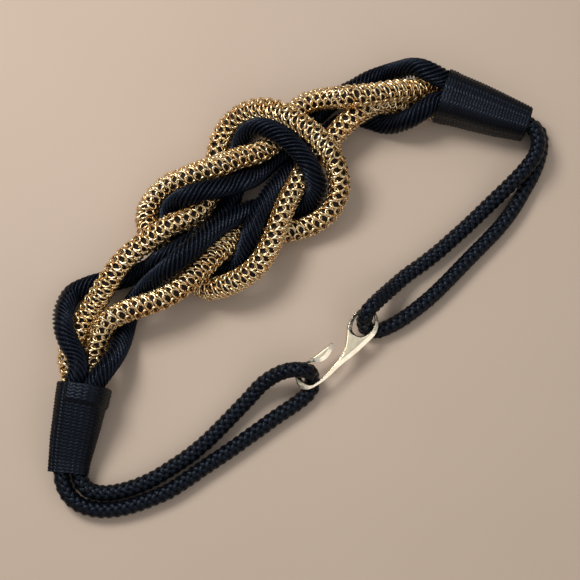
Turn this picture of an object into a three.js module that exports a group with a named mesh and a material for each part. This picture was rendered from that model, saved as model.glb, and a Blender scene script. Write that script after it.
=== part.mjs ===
// Rope belt, closed, lying on a table. Millimetres, +Z up, +X along its longest side.
// Two doubled ropes, each a gold mesh tube beside a twisted black cord, are tied together in a flat
// Hercules knot. A woven wrap binds the four ends of each rope, a thin braided loop leaves each wrap,
// and a flat cast hook joins the two loops.
import * as THREE from "three";

const CHAIN_RADIUS = 6.3;
const CORD_RADIUS = 5.3;
const LOOP_RADIUS = 4.4;
const ROPE_SIDES = 10;
const LOOP_SIDES = 8;
const TUBE_STEPS = 80;

const WRAP_WALL = 1.2;
const WRAP_SIDES = 24;
const WRAP_SQUARENESS = 3.5;

const HOOK_UNDERSIDE = 9.2;
const HOOK_THICKNESS = 2.8;
const OUTLINE_DIVISIONS = 2;
const EYE_CORNERS = 28;
const EYE = { x: 31.8, y: -24.8, halfLength: 7.8, halfWidth: 5.6, turn: THREE.MathUtils.degToRad(57.5) };

// The routes are the centrelines as [x, y, z]. The table is at z = 0, so the height of a point is the
// radius of its own strand where the strand lies on the table, and more where it climbs over another.
const LEFT_CHAIN_ROUTE = [
  [-131, -67, 8.2], [-130.5, -60, 8.3], [-131.8, -52.5, 7.9], [-134, -43, 6.6], [-132, -33.5, 6.3],
  [-128, -25, 7], [-123, -17, 9.5], [-117.5, -10, 13.8], [-112, -2.5, 17.4], [-104.5, 8.5, 18.8],
  [-95.5, 17, 19.8], [-86, 24, 19.8], [-77, 30.5, 19.2], [-68, 35, 15.2], [-60.5, 42.5, 10.6],
  [-56, 52, 6.9], [-53.5, 62.5, 6.3], [-52.5, 73.5, 6.3], [-50.3, 84.7, 7.6], [-44.4, 94, 11.5],
  [-35, 99, 17], [-24, 98.5, 23.5], [-13, 93.5, 28.4], [-3.5, 87.5, 29.4], [5.5, 80, 29.4],
  [13, 71, 28.4], [17, 62, 23], [18.4, 52.5, 17], [14, 42, 11.5], [4.8, 35, 8],
  [-6, 31, 6.4], [-17, 29, 6.3], [-28.5, 29.5, 6.3], [-38.5, 28, 6.6], [-45.5, 21.5, 10.6],
  [-52.5, 13, 17.2], [-58.5, 6, 19], [-65, -0.5, 19.9], [-72, -6.5, 19.6], [-81.5, -12, 19],
  [-93, -16, 18.2], [-103, -19.5, 17.7], [-111.8, -23.8, 13.8], [-116.5, -31, 10], [-118.5, -38, 7.8],
  [-119.5, -45.5, 7], [-118, -53.5, 7.8], [-117.3, -60, 8.1], [-118, -67, 8.1],
];
const LEFT_CORD_ROUTE = [
  [-129.8, -67, 20.3], [-127.8, -60.5, 20.4], [-126, -53, 20.4], [-128, -44, 19.2], [-132.5, -36, 18.8],
  [-136, -27, 17], [-137.5, -17.5, 11], [-134, -7, 6], [-126.5, -2.5, 5.3], [-117, 0.5, 5.3],
  [-107, 2, 5.3], [-98.5, 5, 5.3], [-89.5, 8, 9], [-83.5, 10.6, 16], [-76.5, 13.5, 18.6],
  [-70.5, 17.5, 18.8], [-64, 22, 17], [-58, 27.5, 12.4], [-52, 34, 6.4], [-47, 43, 5.3],
  [-43, 52.5, 5.3], [-40.5, 63, 5.3], [-39.5, 72.5, 5.3], [-39, 79.8, 8.6], [-35.5, 85.5, 16.8],
  [-27, 86.5, 25.6], [-17, 82, 28.8], [-8.5, 75.5, 28.6], [-2, 68, 28.4], [3, 60, 27],
  [6, 52.8, 20], [2, 47.4, 10.2], [-5.5, 44, 6], [-14.5, 43.5, 5.3], [-23.5, 44.5, 5.3],
  [-33, 43, 7], [-42, 36.5, 14.4], [-51, 29, 21], [-58.5, 20.5, 26.2], [-65, 14, 28.4],
  [-71, 8.5, 28.2], [-77, 4, 26], [-83, 0.5, 20.4], [-89.5, -3, 12.5], [-95, -7.5, 7.8],
  [-99.5, -13, 5.4], [-102, -20.5, 5.3], [-103.5, -28, 5.6], [-105, -35.5, 8.8], [-107.5, -44, 14.8],
  [-111.8, -52, 18.8], [-116.7, -60, 20.2], [-118.6, -67, 20.3],
];
const RIGHT_CHAIN_ROUTE = [
  [88.6, 115.2, 8.1], [80.5, 118.5, 9], [71.5, 118.2, 13], [63.5, 112.8, 16.8], [54.5, 110, 23],
  [45.5, 107, 27.4], [36, 105, 28.9], [27.5, 104.5, 28.6], [19, 106.3, 22], [9, 107, 17.6],
  [-1, 104.5, 16], [-8, 98, 15.6], [-13, 89, 15.8], [-19.5, 80.5, 15.8], [-27.5, 74.5, 16.9],
  [-38, 71, 18.4], [-49, 66, 19.2], [-60, 63, 18.4], [-70.5, 59.5, 15.5], [-81, 56, 11],
  [-88.5, 49.5, 8], [-92.5, 40.5, 6.4], [-91.2, 30.6, 6.3], [-85.2, 22.3, 6.3], [-77.3, 16.2, 6.3],
  [-70.5, 10, 6.3], [-64.5, 2.5, 6.3], [-58, -3.5, 8], [-49, -4, 13], [-39.5, -1, 16.6],
  [-30.5, 4.5, 18.6], [-24, 12.5, 19.5], [-19, 22.5, 19.5], [-15.5, 33, 19], [-11.5, 44, 17.4],
  [-6.5, 54, 16.2], [-2, 62.5, 16], [4.5, 70.5, 16], [11, 79, 16], [17.5, 86.5, 16],
  [24, 93.5, 17.2], [31.5, 99.6, 17], [40, 104.5, 15.7], [49.5, 107, 10.8], [58.5, 106.5, 6.6],
  [68, 105, 6.8], [77, 105, 8.3], [84.4, 102.7, 8.3],
];
const RIGHT_CORD_ROUTE = [
  [88.6, 113.8, 20.4], [81.5, 117, 21.2], [74, 119.5, 24.6], [66.5, 122.5, 25.2], [60.5, 125, 20.8],
  [55.5, 126, 15.2], [47.5, 126.5, 8], [38, 124, 5.3], [28.5, 118.5, 5.3], [19.5, 113.5, 5.3],
  [11.5, 107, 5.3], [4.5, 100, 5.3], [-2, 92.5, 5.3], [-8, 85, 5.3], [-14.5, 78.5, 5.3],
  [-22, 71.5, 6], [-29.5, 63, 9.8], [-36.5, 57.5, 15.6], [-43.5, 54.5, 17.2], [-52, 52, 19.4],
  [-60.5, 50, 20.6], [-68, 47.5, 19.4], [-74.5, 46, 13.8], [-78.8, 43, 8.8], [-80, 37.5, 5.8],
  [-77, 31.5, 5.3], [-69.8, 25.4, 5.3], [-62, 19, 5.3], [-56.5, 13.2, 5.3], [-52.3, 9.2, 5.3],
  [-46.8, 7.2, 5.3], [-41, 8, 6.6], [-36.8, 12.2, 9.8], [-34, 19, 14.6], [-31.5, 26.5, 18.6],
  [-28.5, 34.5, 18.2], [-24.5, 43, 17.2], [-20, 52.5, 13.4], [-13.5, 62, 7.4], [-6, 70.5, 5.3],
  [1, 78, 5.3], [8, 85.5, 5.3], [15, 92.5, 5.3], [22.5, 98, 5.3], [30, 100.5, 5.3],
  [38, 98.9, 5.3], [45, 96.3, 5.5], [52, 95, 8.8], [60, 96, 15], [67.5, 99.8, 18.6],
  [75.8, 104.5, 20.3], [84.4, 103.2, 20.4],
];
const LEFT_LOOP_ROUTE = [
  [-126, -101, 6.7], [-125.6, -109.5, 6.5], [-121.5, -116, 5.4], [-113.8, -118.4, 4.6],
  [-104.5, -117.6, 4.4], [-94.6, -114.8, 4.4], [-84.8, -110.5, 4.4], [-75, -104.5, 4.4],
  [-65.7, -98.2, 4.4], [-56.9, -91, 4.4], [-48.7, -83, 4.4], [-40.4, -74.4, 4.6],
  [-32.6, -66.3, 5.6], [-25.3, -58.8, 8.5], [-17.4, -54, 12.6], [-10.7, -52, 16.4],
  [-4.6, -51.6, 17.2], [-1.3, -51.9, 16.3], [1, -52.4, 14], [2, -53, 10.7],
  [2.5, -53.9, 7.4], [3, -56.2, 5.1], [2.6, -60, 4.4], [-0.6, -64.6, 4.4], [-6.5, -69.3, 4.4],
  [-16.9, -76.3, 4.4], [-26.9, -83.5, 4.4], [-36.9, -90.7, 4.4], [-46.8, -97.6, 4.4],
  [-56.7, -104.2, 4.4], [-66.5, -111, 4.4], [-76.3, -117.3, 4.4], [-86.2, -121.6, 4.4],
  [-96, -125.1, 4.4], [-106.3, -127.3, 4.4], [-116.8, -127.3, 4.6], [-126.1, -124.1, 5.2],
  [-132.2, -118.4, 6], [-135.3, -110.5, 6.5], [-135.3, -101, 6.7],
];
const RIGHT_LOOP_ROUTE = [
  [120, 97.3, 15], [126.9, 94.6, 14.9], [132.8, 88.9, 14.3], [134.6, 81.4, 13.8],
  [132.3, 73.6, 13.4], [127.1, 66.5, 12.8], [120.2, 59.2, 11.2], [112.4, 52, 8],
  [104.5, 44.7, 5.2], [95, 35.6, 4.4], [85.4, 26.9, 4.4], [75.9, 18.5, 4.4],
  [66.5, 11.1, 4.4], [57, 4.2, 5], [48.6, -3.5, 8], [41.4, -10.6, 13.4],
  [37.6, -14.6, 16.4], [34.8, -17.6, 17.4], [33.1, -20.2, 16.4], [32.3, -22.3, 13.8],
  [32.1, -23.5, 10.6], [32.4, -24.7, 7.6], [33.7, -26.3, 5.6], [36.2, -27.6, 4.6],
  [40.4, -27.7, 4.4], [47.5, -24.9, 4.4], [55.4, -20.3, 4.4], [63, -14.7, 4.4], [71.1, -8, 4.4],
  [79.4, -0.1, 4.4], [87.7, 8.4, 4.4], [96.1, 17, 4.4], [104.5, 25.4, 4.4],
  [112.6, 34.1, 4.4], [120, 43.7, 4.4], [126.3, 54, 4.4], [132, 63.8, 4.4],
  [136.3, 73.7, 4.4], [138.5, 82.9, 4.5], [137.6, 90.9, 4.8], [132.5, 95.4, 5.6],
  [126.2, 96.4, 6], [119.8, 97.3, 6],
];

// Cross sections of the wraps, from the mouth, where the four ends go in, to the loop end.
const LEFT_WRAP_SECTIONS = [
  { x: -123.7, y: -57.6, width: 31.4, height: 28 },
  { x: -124.4, y: -64, width: 30.4, height: 28 },
  { x: -125.2, y: -68.5, width: 29.4, height: 27.4 },
  { x: -126.8, y: -78, width: 27.6, height: 24 },
  { x: -128.6, y: -90, width: 25, height: 19 },
  { x: -130.2, y: -101, width: 22.4, height: 15 },
  { x: -130.8, y: -107.8, width: 21.4, height: 13.4 },
];
const RIGHT_WRAP_SECTIONS = [
  { x: 79.3, y: 111.3, width: 31.4, height: 29 },
  { x: 85.9, y: 109, width: 30.4, height: 28.4 },
  { x: 89.7, y: 107.8, width: 29.4, height: 27.8 },
  { x: 100, y: 104.4, width: 28, height: 26.5 },
  { x: 112.3, y: 100, width: 25, height: 24.5 },
  { x: 122.7, y: 96.4, width: 21, height: 22.4 },
  { x: 129.3, y: 94, width: 18.5, height: 21.2 },
];

// Outline of the hook seen from above, from the tip of the barb along the inside of the bend,
// up the shaft, around the eye and back down the outside of the shaft and the bend.
const HOOK_TIP = [15.1, -36.2];
const HOOK_OUTLINE = [
  [13.9, -40], [11.1, -44.2], [7.1, -46.6], [2.6, -46.6], [-2, -48.8], [-3.9, -53.2],
  [-2, -57.4], [2.4, -59.5], [8, -55.8], [13.8, -49.5], [18.6, -43.6], [21, -38],
  [22, -32], [22.6, -26.2], [24.6, -21.4], [29, -16.6], [34.6, -15], [38.8, -18],
  [40.4, -24], [39, -29.8], [35.3, -34.2], [26.7, -42.1], [19.4, -47.8], [11.6, -55.1],
  [4.9, -59.9], [-0.7, -62.1], [-5, -60], [-7, -54], [-5.2, -49.6], [0, -46], [7, -40.8], [13.6, -35.6],
];

const goldMesh = { color: 0x9a6a3c, roughness: 0.34, metalness: 0.9 };
const blackCord = { color: 0x14161c, roughness: 0.62, metalness: 0 };
const blackTape = { color: 0x15171d, roughness: 0.74, metalness: 0 };
const paleGold = { color: 0xd8b184, roughness: 0.26, metalness: 1 };

// A centreline that never dips below the height at which its strand touches the table.
class RestingCurve extends THREE.CatmullRomCurve3 {
  constructor(points, radius) {
    super(points, false, "centripetal");
    this.radius = radius;
  }

  getPoint(t, target) {
    const point = super.getPoint(t, target);
    point.z = Math.max(point.z, this.radius);
    return point;
  }
}

function regularPolygon(radius, sides) {
  const corners = Array.from({ length: sides }, (_, i) => {
    const angle = ((i + 0.5) / sides) * 2 * Math.PI;
    return new THREE.Vector2(radius * Math.cos(angle), radius * Math.sin(angle));
  });
  return new THREE.Shape(corners);
}

function tubeAlong(route, radius, sides) {
  const points = route.map(([x, y, z]) => new THREE.Vector3(x, y, z));
  return new THREE.ExtrudeGeometry(regularPolygon(radius, sides), {
    steps: TUBE_STEPS,
    extrudePath: new RestingCurve(points, radius),
    bevelEnabled: false,
  });
}

// Direction of the wrap at one section, level with the table.
function headingAt(sections, index) {
  const before = sections[Math.max(index - 1, 0)];
  const after = sections[Math.min(index + 1, sections.length - 1)];
  return new THREE.Vector2(after.x - before.x, after.y - before.y).normalize();
}

// One ring of corners: a rounded box, standing on the table, thinned by the inset.
function sectionRing(section, heading, inset) {
  const halfWidth = section.width / 2 - inset;
  const halfHeight = section.height / 2 - inset;
  const power = 2 / WRAP_SQUARENESS;
  return Array.from({ length: WRAP_SIDES }, (_, i) => {
    const angle = (i / WRAP_SIDES) * 2 * Math.PI;
    const across = halfWidth * Math.sign(Math.cos(angle)) * Math.abs(Math.cos(angle)) ** power;
    const up = halfHeight * Math.sign(Math.sin(angle)) * Math.abs(Math.sin(angle)) ** power;
    return new THREE.Vector3(
      section.x + heading.y * across,
      section.y - heading.x * across,
      section.height / 2 + up,
    );
  });
}

function addBand(corners, first, second) {
  first.forEach((corner, i) => {
    const next = (i + 1) % first.length;
    corners.push(corner, second[next], first[next], corner, second[i], second[next]);
  });
}

// A sleeve open at both ends: the outer skin, the inner skin and the two rims.
function sleeve(sections) {
  const outer = sections.map((section, i) => sectionRing(section, headingAt(sections, i), 0));
  const inner = sections.map((section, i) => sectionRing(section, headingAt(sections, i), WRAP_WALL));
  const corners = [];
  for (let i = 0; i + 1 < sections.length; i += 1) {
    addBand(corners, outer[i], outer[i + 1]);
    addBand(corners, inner[i + 1], inner[i]);
  }
  addBand(corners, inner[0], outer[0]);
  addBand(corners, outer.at(-1), inner.at(-1));
  return new THREE.BufferGeometry().setFromPoints(corners);
}

function hookPlate() {
  const outline = new THREE.Shape();
  outline.moveTo(...HOOK_TIP);
  outline.splineThru(HOOK_OUTLINE.map(([x, y]) => new THREE.Vector2(x, y)));
  const rim = new THREE.EllipseCurve(
    EYE.x, EYE.y, EYE.halfLength, EYE.halfWidth, 0, 2 * Math.PI, false, EYE.turn,
  );
  outline.holes.push(new THREE.Path(rim.getPoints(EYE_CORNERS).slice(1)));
  const plate = new THREE.ExtrudeGeometry(outline, {
    depth: HOOK_THICKNESS,
    curveSegments: OUTLINE_DIVISIONS,
    bevelEnabled: false,
  });
  return plate.translate(0, 0, HOOK_UNDERSIDE);
}

function piece(name, geometry, finish) {
  const mesh = new THREE.Mesh(geometry, new THREE.MeshStandardMaterial(finish));
  mesh.name = name;
  return mesh;
}

const belt = new THREE.Group();
belt.add(
  piece("left_gold_chain", tubeAlong(LEFT_CHAIN_ROUTE, CHAIN_RADIUS, ROPE_SIDES), goldMesh),
  piece("left_black_cord", tubeAlong(LEFT_CORD_ROUTE, CORD_RADIUS, ROPE_SIDES), blackCord),
  piece("right_gold_chain", tubeAlong(RIGHT_CHAIN_ROUTE, CHAIN_RADIUS, ROPE_SIDES), goldMesh),
  piece("right_black_cord", tubeAlong(RIGHT_CORD_ROUTE, CORD_RADIUS, ROPE_SIDES), blackCord),
  piece("left_wrap", sleeve(LEFT_WRAP_SECTIONS), blackTape),
  piece("right_wrap", sleeve(RIGHT_WRAP_SECTIONS), blackTape),
  piece("left_loop_cord", tubeAlong(LEFT_LOOP_ROUTE, LOOP_RADIUS, LOOP_SIDES), blackCord),
  piece("right_loop_cord", tubeAlong(RIGHT_LOOP_ROUTE, LOOP_RADIUS, LOOP_SIDES), blackCord),
  piece("hook", hookPlate(), paleGold),
);

export default belt;
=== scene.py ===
# %% [markdown]
# # A rope belt, tied in a flat knot and closed with a cast hook
# The belt lies closed on a table. Two doubled ropes, each a tube of gold wire mesh beside a thick
# twisted black cord, are tied together in a flat knot. A woven wrap binds the four ends of each rope,
# a thin braided loop leaves each wrap, and a flat hook joins the two loops.
#
# The solids of the belt are loaded first as a fixed frame, in metres. Each piece made here stands on
# the place of one solid and takes its looks from this script.

# %% Load the frame
import math

import bmesh
import bpy
import numpy as np
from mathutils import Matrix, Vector
from mathutils.geometry import delaunay_2d_cdt


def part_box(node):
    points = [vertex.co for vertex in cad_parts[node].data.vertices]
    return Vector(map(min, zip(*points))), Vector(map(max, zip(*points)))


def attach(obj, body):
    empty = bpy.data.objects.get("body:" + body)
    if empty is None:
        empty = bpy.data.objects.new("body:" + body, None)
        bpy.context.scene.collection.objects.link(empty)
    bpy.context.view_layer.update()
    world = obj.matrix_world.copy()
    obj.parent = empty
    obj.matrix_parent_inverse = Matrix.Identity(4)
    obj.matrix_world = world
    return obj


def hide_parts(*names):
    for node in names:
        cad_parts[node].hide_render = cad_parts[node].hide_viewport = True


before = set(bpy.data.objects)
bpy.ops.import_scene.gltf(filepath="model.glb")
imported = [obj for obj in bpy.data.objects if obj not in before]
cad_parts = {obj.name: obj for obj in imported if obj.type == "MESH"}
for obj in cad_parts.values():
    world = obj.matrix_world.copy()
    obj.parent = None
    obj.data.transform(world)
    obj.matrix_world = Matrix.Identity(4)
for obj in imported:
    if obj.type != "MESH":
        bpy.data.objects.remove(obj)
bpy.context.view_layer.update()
print("solids:", ", ".join(sorted(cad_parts)))

# %% [markdown]
# ## Camera
# The belt is seen from high above its near edge, 78 degrees above the table. A fairly long lens
# keeps the ropes almost as wide at the far edge as at the near one. The distance is chosen so that
# the belt nearly fills a square picture from side to side.

# %% Camera
LOOK_AT = Vector((-0.0096, -0.0047, 0.008))
ELEVATION = math.radians(78)
DISTANCE = 0.6169
FIELD_OF_VIEW = math.radians(30)
SENSOR_WIDTH = 36

camera = bpy.data.objects.new("camera", bpy.data.cameras.new("camera"))
camera.data.sensor_width = SENSOR_WIDTH
camera.data.lens = SENSOR_WIDTH / 2 / math.tan(FIELD_OF_VIEW / 2)
away = Vector((0, -math.cos(ELEVATION), math.sin(ELEVATION)))
camera.location = LOOK_AT + away * DISTANCE
camera.rotation_euler = (-away).to_track_quat("-Z", "Y").to_euler()
bpy.context.scene.collection.objects.link(camera)
bpy.context.scene.camera = camera
print(f"camera {DISTANCE * 1000:.0f} mm away, lens {camera.data.lens:.0f} mm")

# %% [markdown]
# ## Routes of the ropes and loops
# A knot is drawn best one point at a time. Each list holds the points that the middle of one strand passes
# through, in metres, and the height of a point says which strand lies over which. The strands of a
# rope run from their wrap through the knot and back, and a loop runs round the hook and back.

# %% Routes
LEFT_CHAIN_ROUTE = [
    (-0.1298, -0.067, 0.0082), (-0.1301, -0.06, 0.0083), (-0.1318, -0.0525, 0.0079),
    (-0.134, -0.043, 0.0066), (-0.132, -0.0335, 0.0063), (-0.128, -0.025, 0.007), (-0.123, -0.017, 0.0095),
    (-0.1175, -0.01, 0.0138), (-0.112, -0.0025, 0.0174), (-0.1045, 0.0085, 0.0188),
    (-0.0955, 0.017, 0.0198), (-0.086, 0.024, 0.0198), (-0.077, 0.0305, 0.0192), (-0.068, 0.035, 0.0152),
    (-0.0605, 0.0425, 0.0106), (-0.056, 0.052, 0.0069), (-0.0535, 0.0625, 0.0063),
    (-0.0525, 0.0735, 0.0063), (-0.0503, 0.0847, 0.0076), (-0.0444, 0.094, 0.0115), (-0.035, 0.099, 0.017),
    (-0.024, 0.0985, 0.0235), (-0.013, 0.0935, 0.0284), (-0.0035, 0.0875, 0.0294), (0.0055, 0.08, 0.0294),
    (0.013, 0.071, 0.0284), (0.017, 0.062, 0.023), (0.0184, 0.0525, 0.017), (0.014, 0.042, 0.0115),
    (0.0048, 0.035, 0.008), (-0.006, 0.031, 0.0064), (-0.017, 0.029, 0.0063), (-0.0285, 0.0295, 0.0063),
    (-0.0385, 0.028, 0.0066), (-0.0455, 0.0215, 0.0106), (-0.0525, 0.013, 0.0172), (-0.0585, 0.006, 0.019),
    (-0.065, -0.0005, 0.0199), (-0.072, -0.0065, 0.0196), (-0.0815, -0.012, 0.019),
    (-0.093, -0.016, 0.0182), (-0.103, -0.0195, 0.0177), (-0.1118, -0.0238, 0.0138),
    (-0.1165, -0.031, 0.01), (-0.1185, -0.038, 0.0078), (-0.1196, -0.0455, 0.007),
    (-0.1188, -0.0535, 0.0078), (-0.1188, -0.06, 0.0081), (-0.119, -0.067, 0.0081),
]
LEFT_CORD_ROUTE = [
    (-0.1298, -0.067, 0.0203), (-0.1278, -0.0605, 0.0204), (-0.126, -0.053, 0.0204),
    (-0.128, -0.044, 0.0192), (-0.1325, -0.036, 0.0188), (-0.136, -0.027, 0.017),
    (-0.1375, -0.0175, 0.011), (-0.134, -0.007, 0.006), (-0.1265, -0.0025, 0.0053),
    (-0.117, 0.0005, 0.0053), (-0.107, 0.002, 0.0053), (-0.0985, 0.005, 0.0053), (-0.0895, 0.008, 0.009),
    (-0.0835, 0.0106, 0.016), (-0.0765, 0.0135, 0.0186), (-0.0705, 0.0175, 0.0188), (-0.064, 0.022, 0.017),
    (-0.058, 0.0275, 0.0124), (-0.052, 0.034, 0.0064), (-0.047, 0.043, 0.0053), (-0.043, 0.0525, 0.0053),
    (-0.0405, 0.063, 0.0053), (-0.0395, 0.0725, 0.0053), (-0.039, 0.0798, 0.0086),
    (-0.0355, 0.0855, 0.0168), (-0.027, 0.0865, 0.0256), (-0.017, 0.082, 0.0288),
    (-0.0085, 0.0755, 0.0286), (-0.002, 0.068, 0.0284), (0.003, 0.06, 0.027), (0.006, 0.0528, 0.02),
    (0.002, 0.0474, 0.0102), (-0.0055, 0.044, 0.006), (-0.0145, 0.0435, 0.0053), (-0.0235, 0.0445, 0.0053),
    (-0.033, 0.043, 0.007), (-0.042, 0.0365, 0.0144), (-0.051, 0.029, 0.021), (-0.0585, 0.0205, 0.0262),
    (-0.065, 0.014, 0.0284), (-0.071, 0.0085, 0.0282), (-0.077, 0.004, 0.026), (-0.083, 0.0005, 0.0204),
    (-0.0895, -0.003, 0.0125), (-0.095, -0.0075, 0.0078), (-0.0995, -0.013, 0.0054),
    (-0.102, -0.0205, 0.0053), (-0.1035, -0.028, 0.0056), (-0.105, -0.0355, 0.0088),
    (-0.1075, -0.044, 0.0148), (-0.1118, -0.052, 0.0188), (-0.1167, -0.06, 0.0202),
    (-0.1186, -0.067, 0.0203),
]
RIGHT_CHAIN_ROUTE = [
    (0.0886, 0.1152, 0.0081), (0.0805, 0.1185, 0.009), (0.0715, 0.1182, 0.013), (0.0635, 0.1128, 0.0168),
    (0.0545, 0.11, 0.023), (0.0455, 0.107, 0.0274), (0.036, 0.105, 0.0289), (0.0275, 0.1045, 0.0286),
    (0.019, 0.1063, 0.022), (0.009, 0.107, 0.0176), (-0.001, 0.1045, 0.016), (-0.008, 0.098, 0.0156),
    (-0.013, 0.089, 0.0158), (-0.0195, 0.0805, 0.0158), (-0.0275, 0.0745, 0.0169), (-0.038, 0.071, 0.0184),
    (-0.049, 0.066, 0.0192), (-0.06, 0.063, 0.0184), (-0.0705, 0.0595, 0.0155), (-0.081, 0.056, 0.011),
    (-0.0885, 0.0495, 0.008), (-0.0925, 0.0405, 0.0064), (-0.0912, 0.0306, 0.0063),
    (-0.0852, 0.0223, 0.0063), (-0.0773, 0.0162, 0.0063), (-0.0705, 0.01, 0.0063),
    (-0.0645, 0.0025, 0.0063), (-0.058, -0.0035, 0.008), (-0.049, -0.004, 0.013),
    (-0.0395, -0.001, 0.0166), (-0.0305, 0.0045, 0.0186), (-0.024, 0.0125, 0.0195),
    (-0.019, 0.0225, 0.0195), (-0.0155, 0.033, 0.019), (-0.0115, 0.044, 0.0174), (-0.0065, 0.054, 0.0162),
    (-0.002, 0.0625, 0.016), (0.0045, 0.0705, 0.016), (0.011, 0.079, 0.016), (0.0175, 0.0865, 0.016),
    (0.024, 0.0935, 0.0172), (0.0315, 0.0996, 0.017), (0.04, 0.1045, 0.0157), (0.0495, 0.107, 0.0108),
    (0.0585, 0.1065, 0.0066), (0.068, 0.105, 0.0068), (0.077, 0.105, 0.0083), (0.0844, 0.1027, 0.0083),
]
RIGHT_CORD_ROUTE = [
    (0.0886, 0.1138, 0.0204), (0.0815, 0.117, 0.0212), (0.074, 0.1195, 0.0246), (0.0665, 0.1225, 0.0252),
    (0.0605, 0.125, 0.0208), (0.0555, 0.126, 0.0152), (0.0475, 0.1265, 0.008), (0.038, 0.124, 0.0053),
    (0.0285, 0.1185, 0.0053), (0.0195, 0.1135, 0.0053), (0.0115, 0.107, 0.0053), (0.0045, 0.1, 0.0053),
    (-0.002, 0.0925, 0.0053), (-0.008, 0.085, 0.0053), (-0.0145, 0.0785, 0.0053), (-0.022, 0.0715, 0.006),
    (-0.0295, 0.063, 0.0098), (-0.0365, 0.0575, 0.0156), (-0.0435, 0.0545, 0.0172),
    (-0.052, 0.052, 0.0194), (-0.0605, 0.05, 0.0206), (-0.068, 0.0475, 0.0194), (-0.0745, 0.046, 0.0138),
    (-0.0788, 0.043, 0.0088), (-0.08, 0.0375, 0.0058), (-0.077, 0.0315, 0.0053), (-0.0698, 0.0254, 0.0053),
    (-0.062, 0.019, 0.0053), (-0.0565, 0.0132, 0.0053), (-0.0523, 0.0092, 0.0053),
    (-0.0468, 0.0072, 0.0053), (-0.041, 0.008, 0.0066), (-0.0368, 0.0122, 0.0098), (-0.034, 0.019, 0.0146),
    (-0.0315, 0.0265, 0.0186), (-0.0285, 0.0345, 0.0182), (-0.0245, 0.043, 0.0172),
    (-0.02, 0.0525, 0.0134), (-0.0135, 0.062, 0.0074), (-0.006, 0.0705, 0.0053), (0.001, 0.078, 0.0053),
    (0.008, 0.0855, 0.0053), (0.015, 0.0925, 0.0053), (0.0225, 0.098, 0.0053), (0.03, 0.1005, 0.0053),
    (0.038, 0.0989, 0.0053), (0.045, 0.0963, 0.0055), (0.052, 0.095, 0.0088), (0.06, 0.096, 0.015),
    (0.0675, 0.0998, 0.0186), (0.0758, 0.1045, 0.0203), (0.0844, 0.1032, 0.0204),
]
LEFT_LOOP_ROUTE = [
    (-0.126, -0.101, 0.0067), (-0.1256, -0.1095, 0.0065), (-0.1215, -0.116, 0.0054),
    (-0.1138, -0.1184, 0.0046), (-0.1045, -0.1176, 0.0044), (-0.0946, -0.1148, 0.0044),
    (-0.0848, -0.1105, 0.0044), (-0.075, -0.1045, 0.0044), (-0.0657, -0.0982, 0.0044),
    (-0.0569, -0.091, 0.0044), (-0.0487, -0.083, 0.0044), (-0.0404, -0.0744, 0.0046),
    (-0.0326, -0.0663, 0.0056), (-0.0253, -0.0588, 0.0085), (-0.0174, -0.054, 0.0126),
    (-0.0107, -0.052, 0.0164), (-0.0046, -0.0516, 0.0172), (-0.0013, -0.0519, 0.0163),
    (0.001, -0.0524, 0.014), (0.002, -0.053, 0.0107), (0.0025, -0.0539, 0.0074), (0.003, -0.0562, 0.0051),
    (0.0026, -0.06, 0.0044), (-0.0006, -0.0646, 0.0044), (-0.0065, -0.0693, 0.0044),
    (-0.0169, -0.0763, 0.0044), (-0.0269, -0.0835, 0.0044), (-0.0369, -0.0907, 0.0044),
    (-0.0468, -0.0976, 0.0044), (-0.0567, -0.1042, 0.0044), (-0.0665, -0.111, 0.0044),
    (-0.0763, -0.1173, 0.0044), (-0.0862, -0.1216, 0.0044), (-0.096, -0.1251, 0.0044),
    (-0.1063, -0.1273, 0.0044), (-0.1168, -0.1273, 0.0046), (-0.1261, -0.1241, 0.0052),
    (-0.1322, -0.1184, 0.006), (-0.1353, -0.1105, 0.0065), (-0.1353, -0.101, 0.0067),
]
RIGHT_LOOP_ROUTE = [
    (0.12, 0.0973, 0.015), (0.1269, 0.0946, 0.0149), (0.1328, 0.0889, 0.0143), (0.1346, 0.0814, 0.0138),
    (0.1323, 0.0736, 0.0134), (0.1271, 0.0665, 0.0128), (0.1202, 0.0592, 0.0112), (0.1124, 0.052, 0.008),
    (0.1045, 0.0447, 0.0052), (0.095, 0.0356, 0.0044), (0.0854, 0.0269, 0.0044), (0.0759, 0.0185, 0.0044),
    (0.0665, 0.0111, 0.0044), (0.057, 0.0042, 0.005), (0.0486, -0.0035, 0.008), (0.0414, -0.0106, 0.0134),
    (0.0376, -0.0146, 0.0164), (0.0348, -0.0176, 0.0174), (0.0331, -0.0202, 0.0164),
    (0.0323, -0.0223, 0.0138), (0.0321, -0.0235, 0.0106), (0.0324, -0.0247, 0.0076),
    (0.0337, -0.0263, 0.0056), (0.0362, -0.0276, 0.0046), (0.0404, -0.0277, 0.0044),
    (0.0475, -0.0249, 0.0044), (0.0554, -0.0203, 0.0044), (0.063, -0.0147, 0.0044),
    (0.0711, -0.008, 0.0044), (0.0794, -0.0001, 0.0044), (0.0877, 0.0084, 0.0044), (0.0961, 0.017, 0.0044),
    (0.1045, 0.0254, 0.0044), (0.1126, 0.0341, 0.0044), (0.12, 0.0437, 0.0044), (0.1263, 0.054, 0.0044),
    (0.132, 0.0638, 0.0044), (0.1363, 0.0737, 0.0044), (0.1385, 0.0829, 0.0045), (0.1376, 0.0909, 0.0048),
    (0.1325, 0.0954, 0.0056), (0.1262, 0.0964, 0.006), (0.1198, 0.0973, 0.006),
]

# %% [markdown]
# ## From route to line
# A smooth line through the points is what a rope does between two bends. A centripetal spline makes
# no loops or overshoots where points are close, so it is used here, and the line is then cut into
# even steps. A strand can't sink into the table, so its middle stays at least one radius up.

# %% Smooth lines
CHAIN_RADIUS = 0.0063
CORD_RADIUS = 0.0053
LOOP_RADIUS = 0.0044
SPLINE_STEPS = 32


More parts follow.
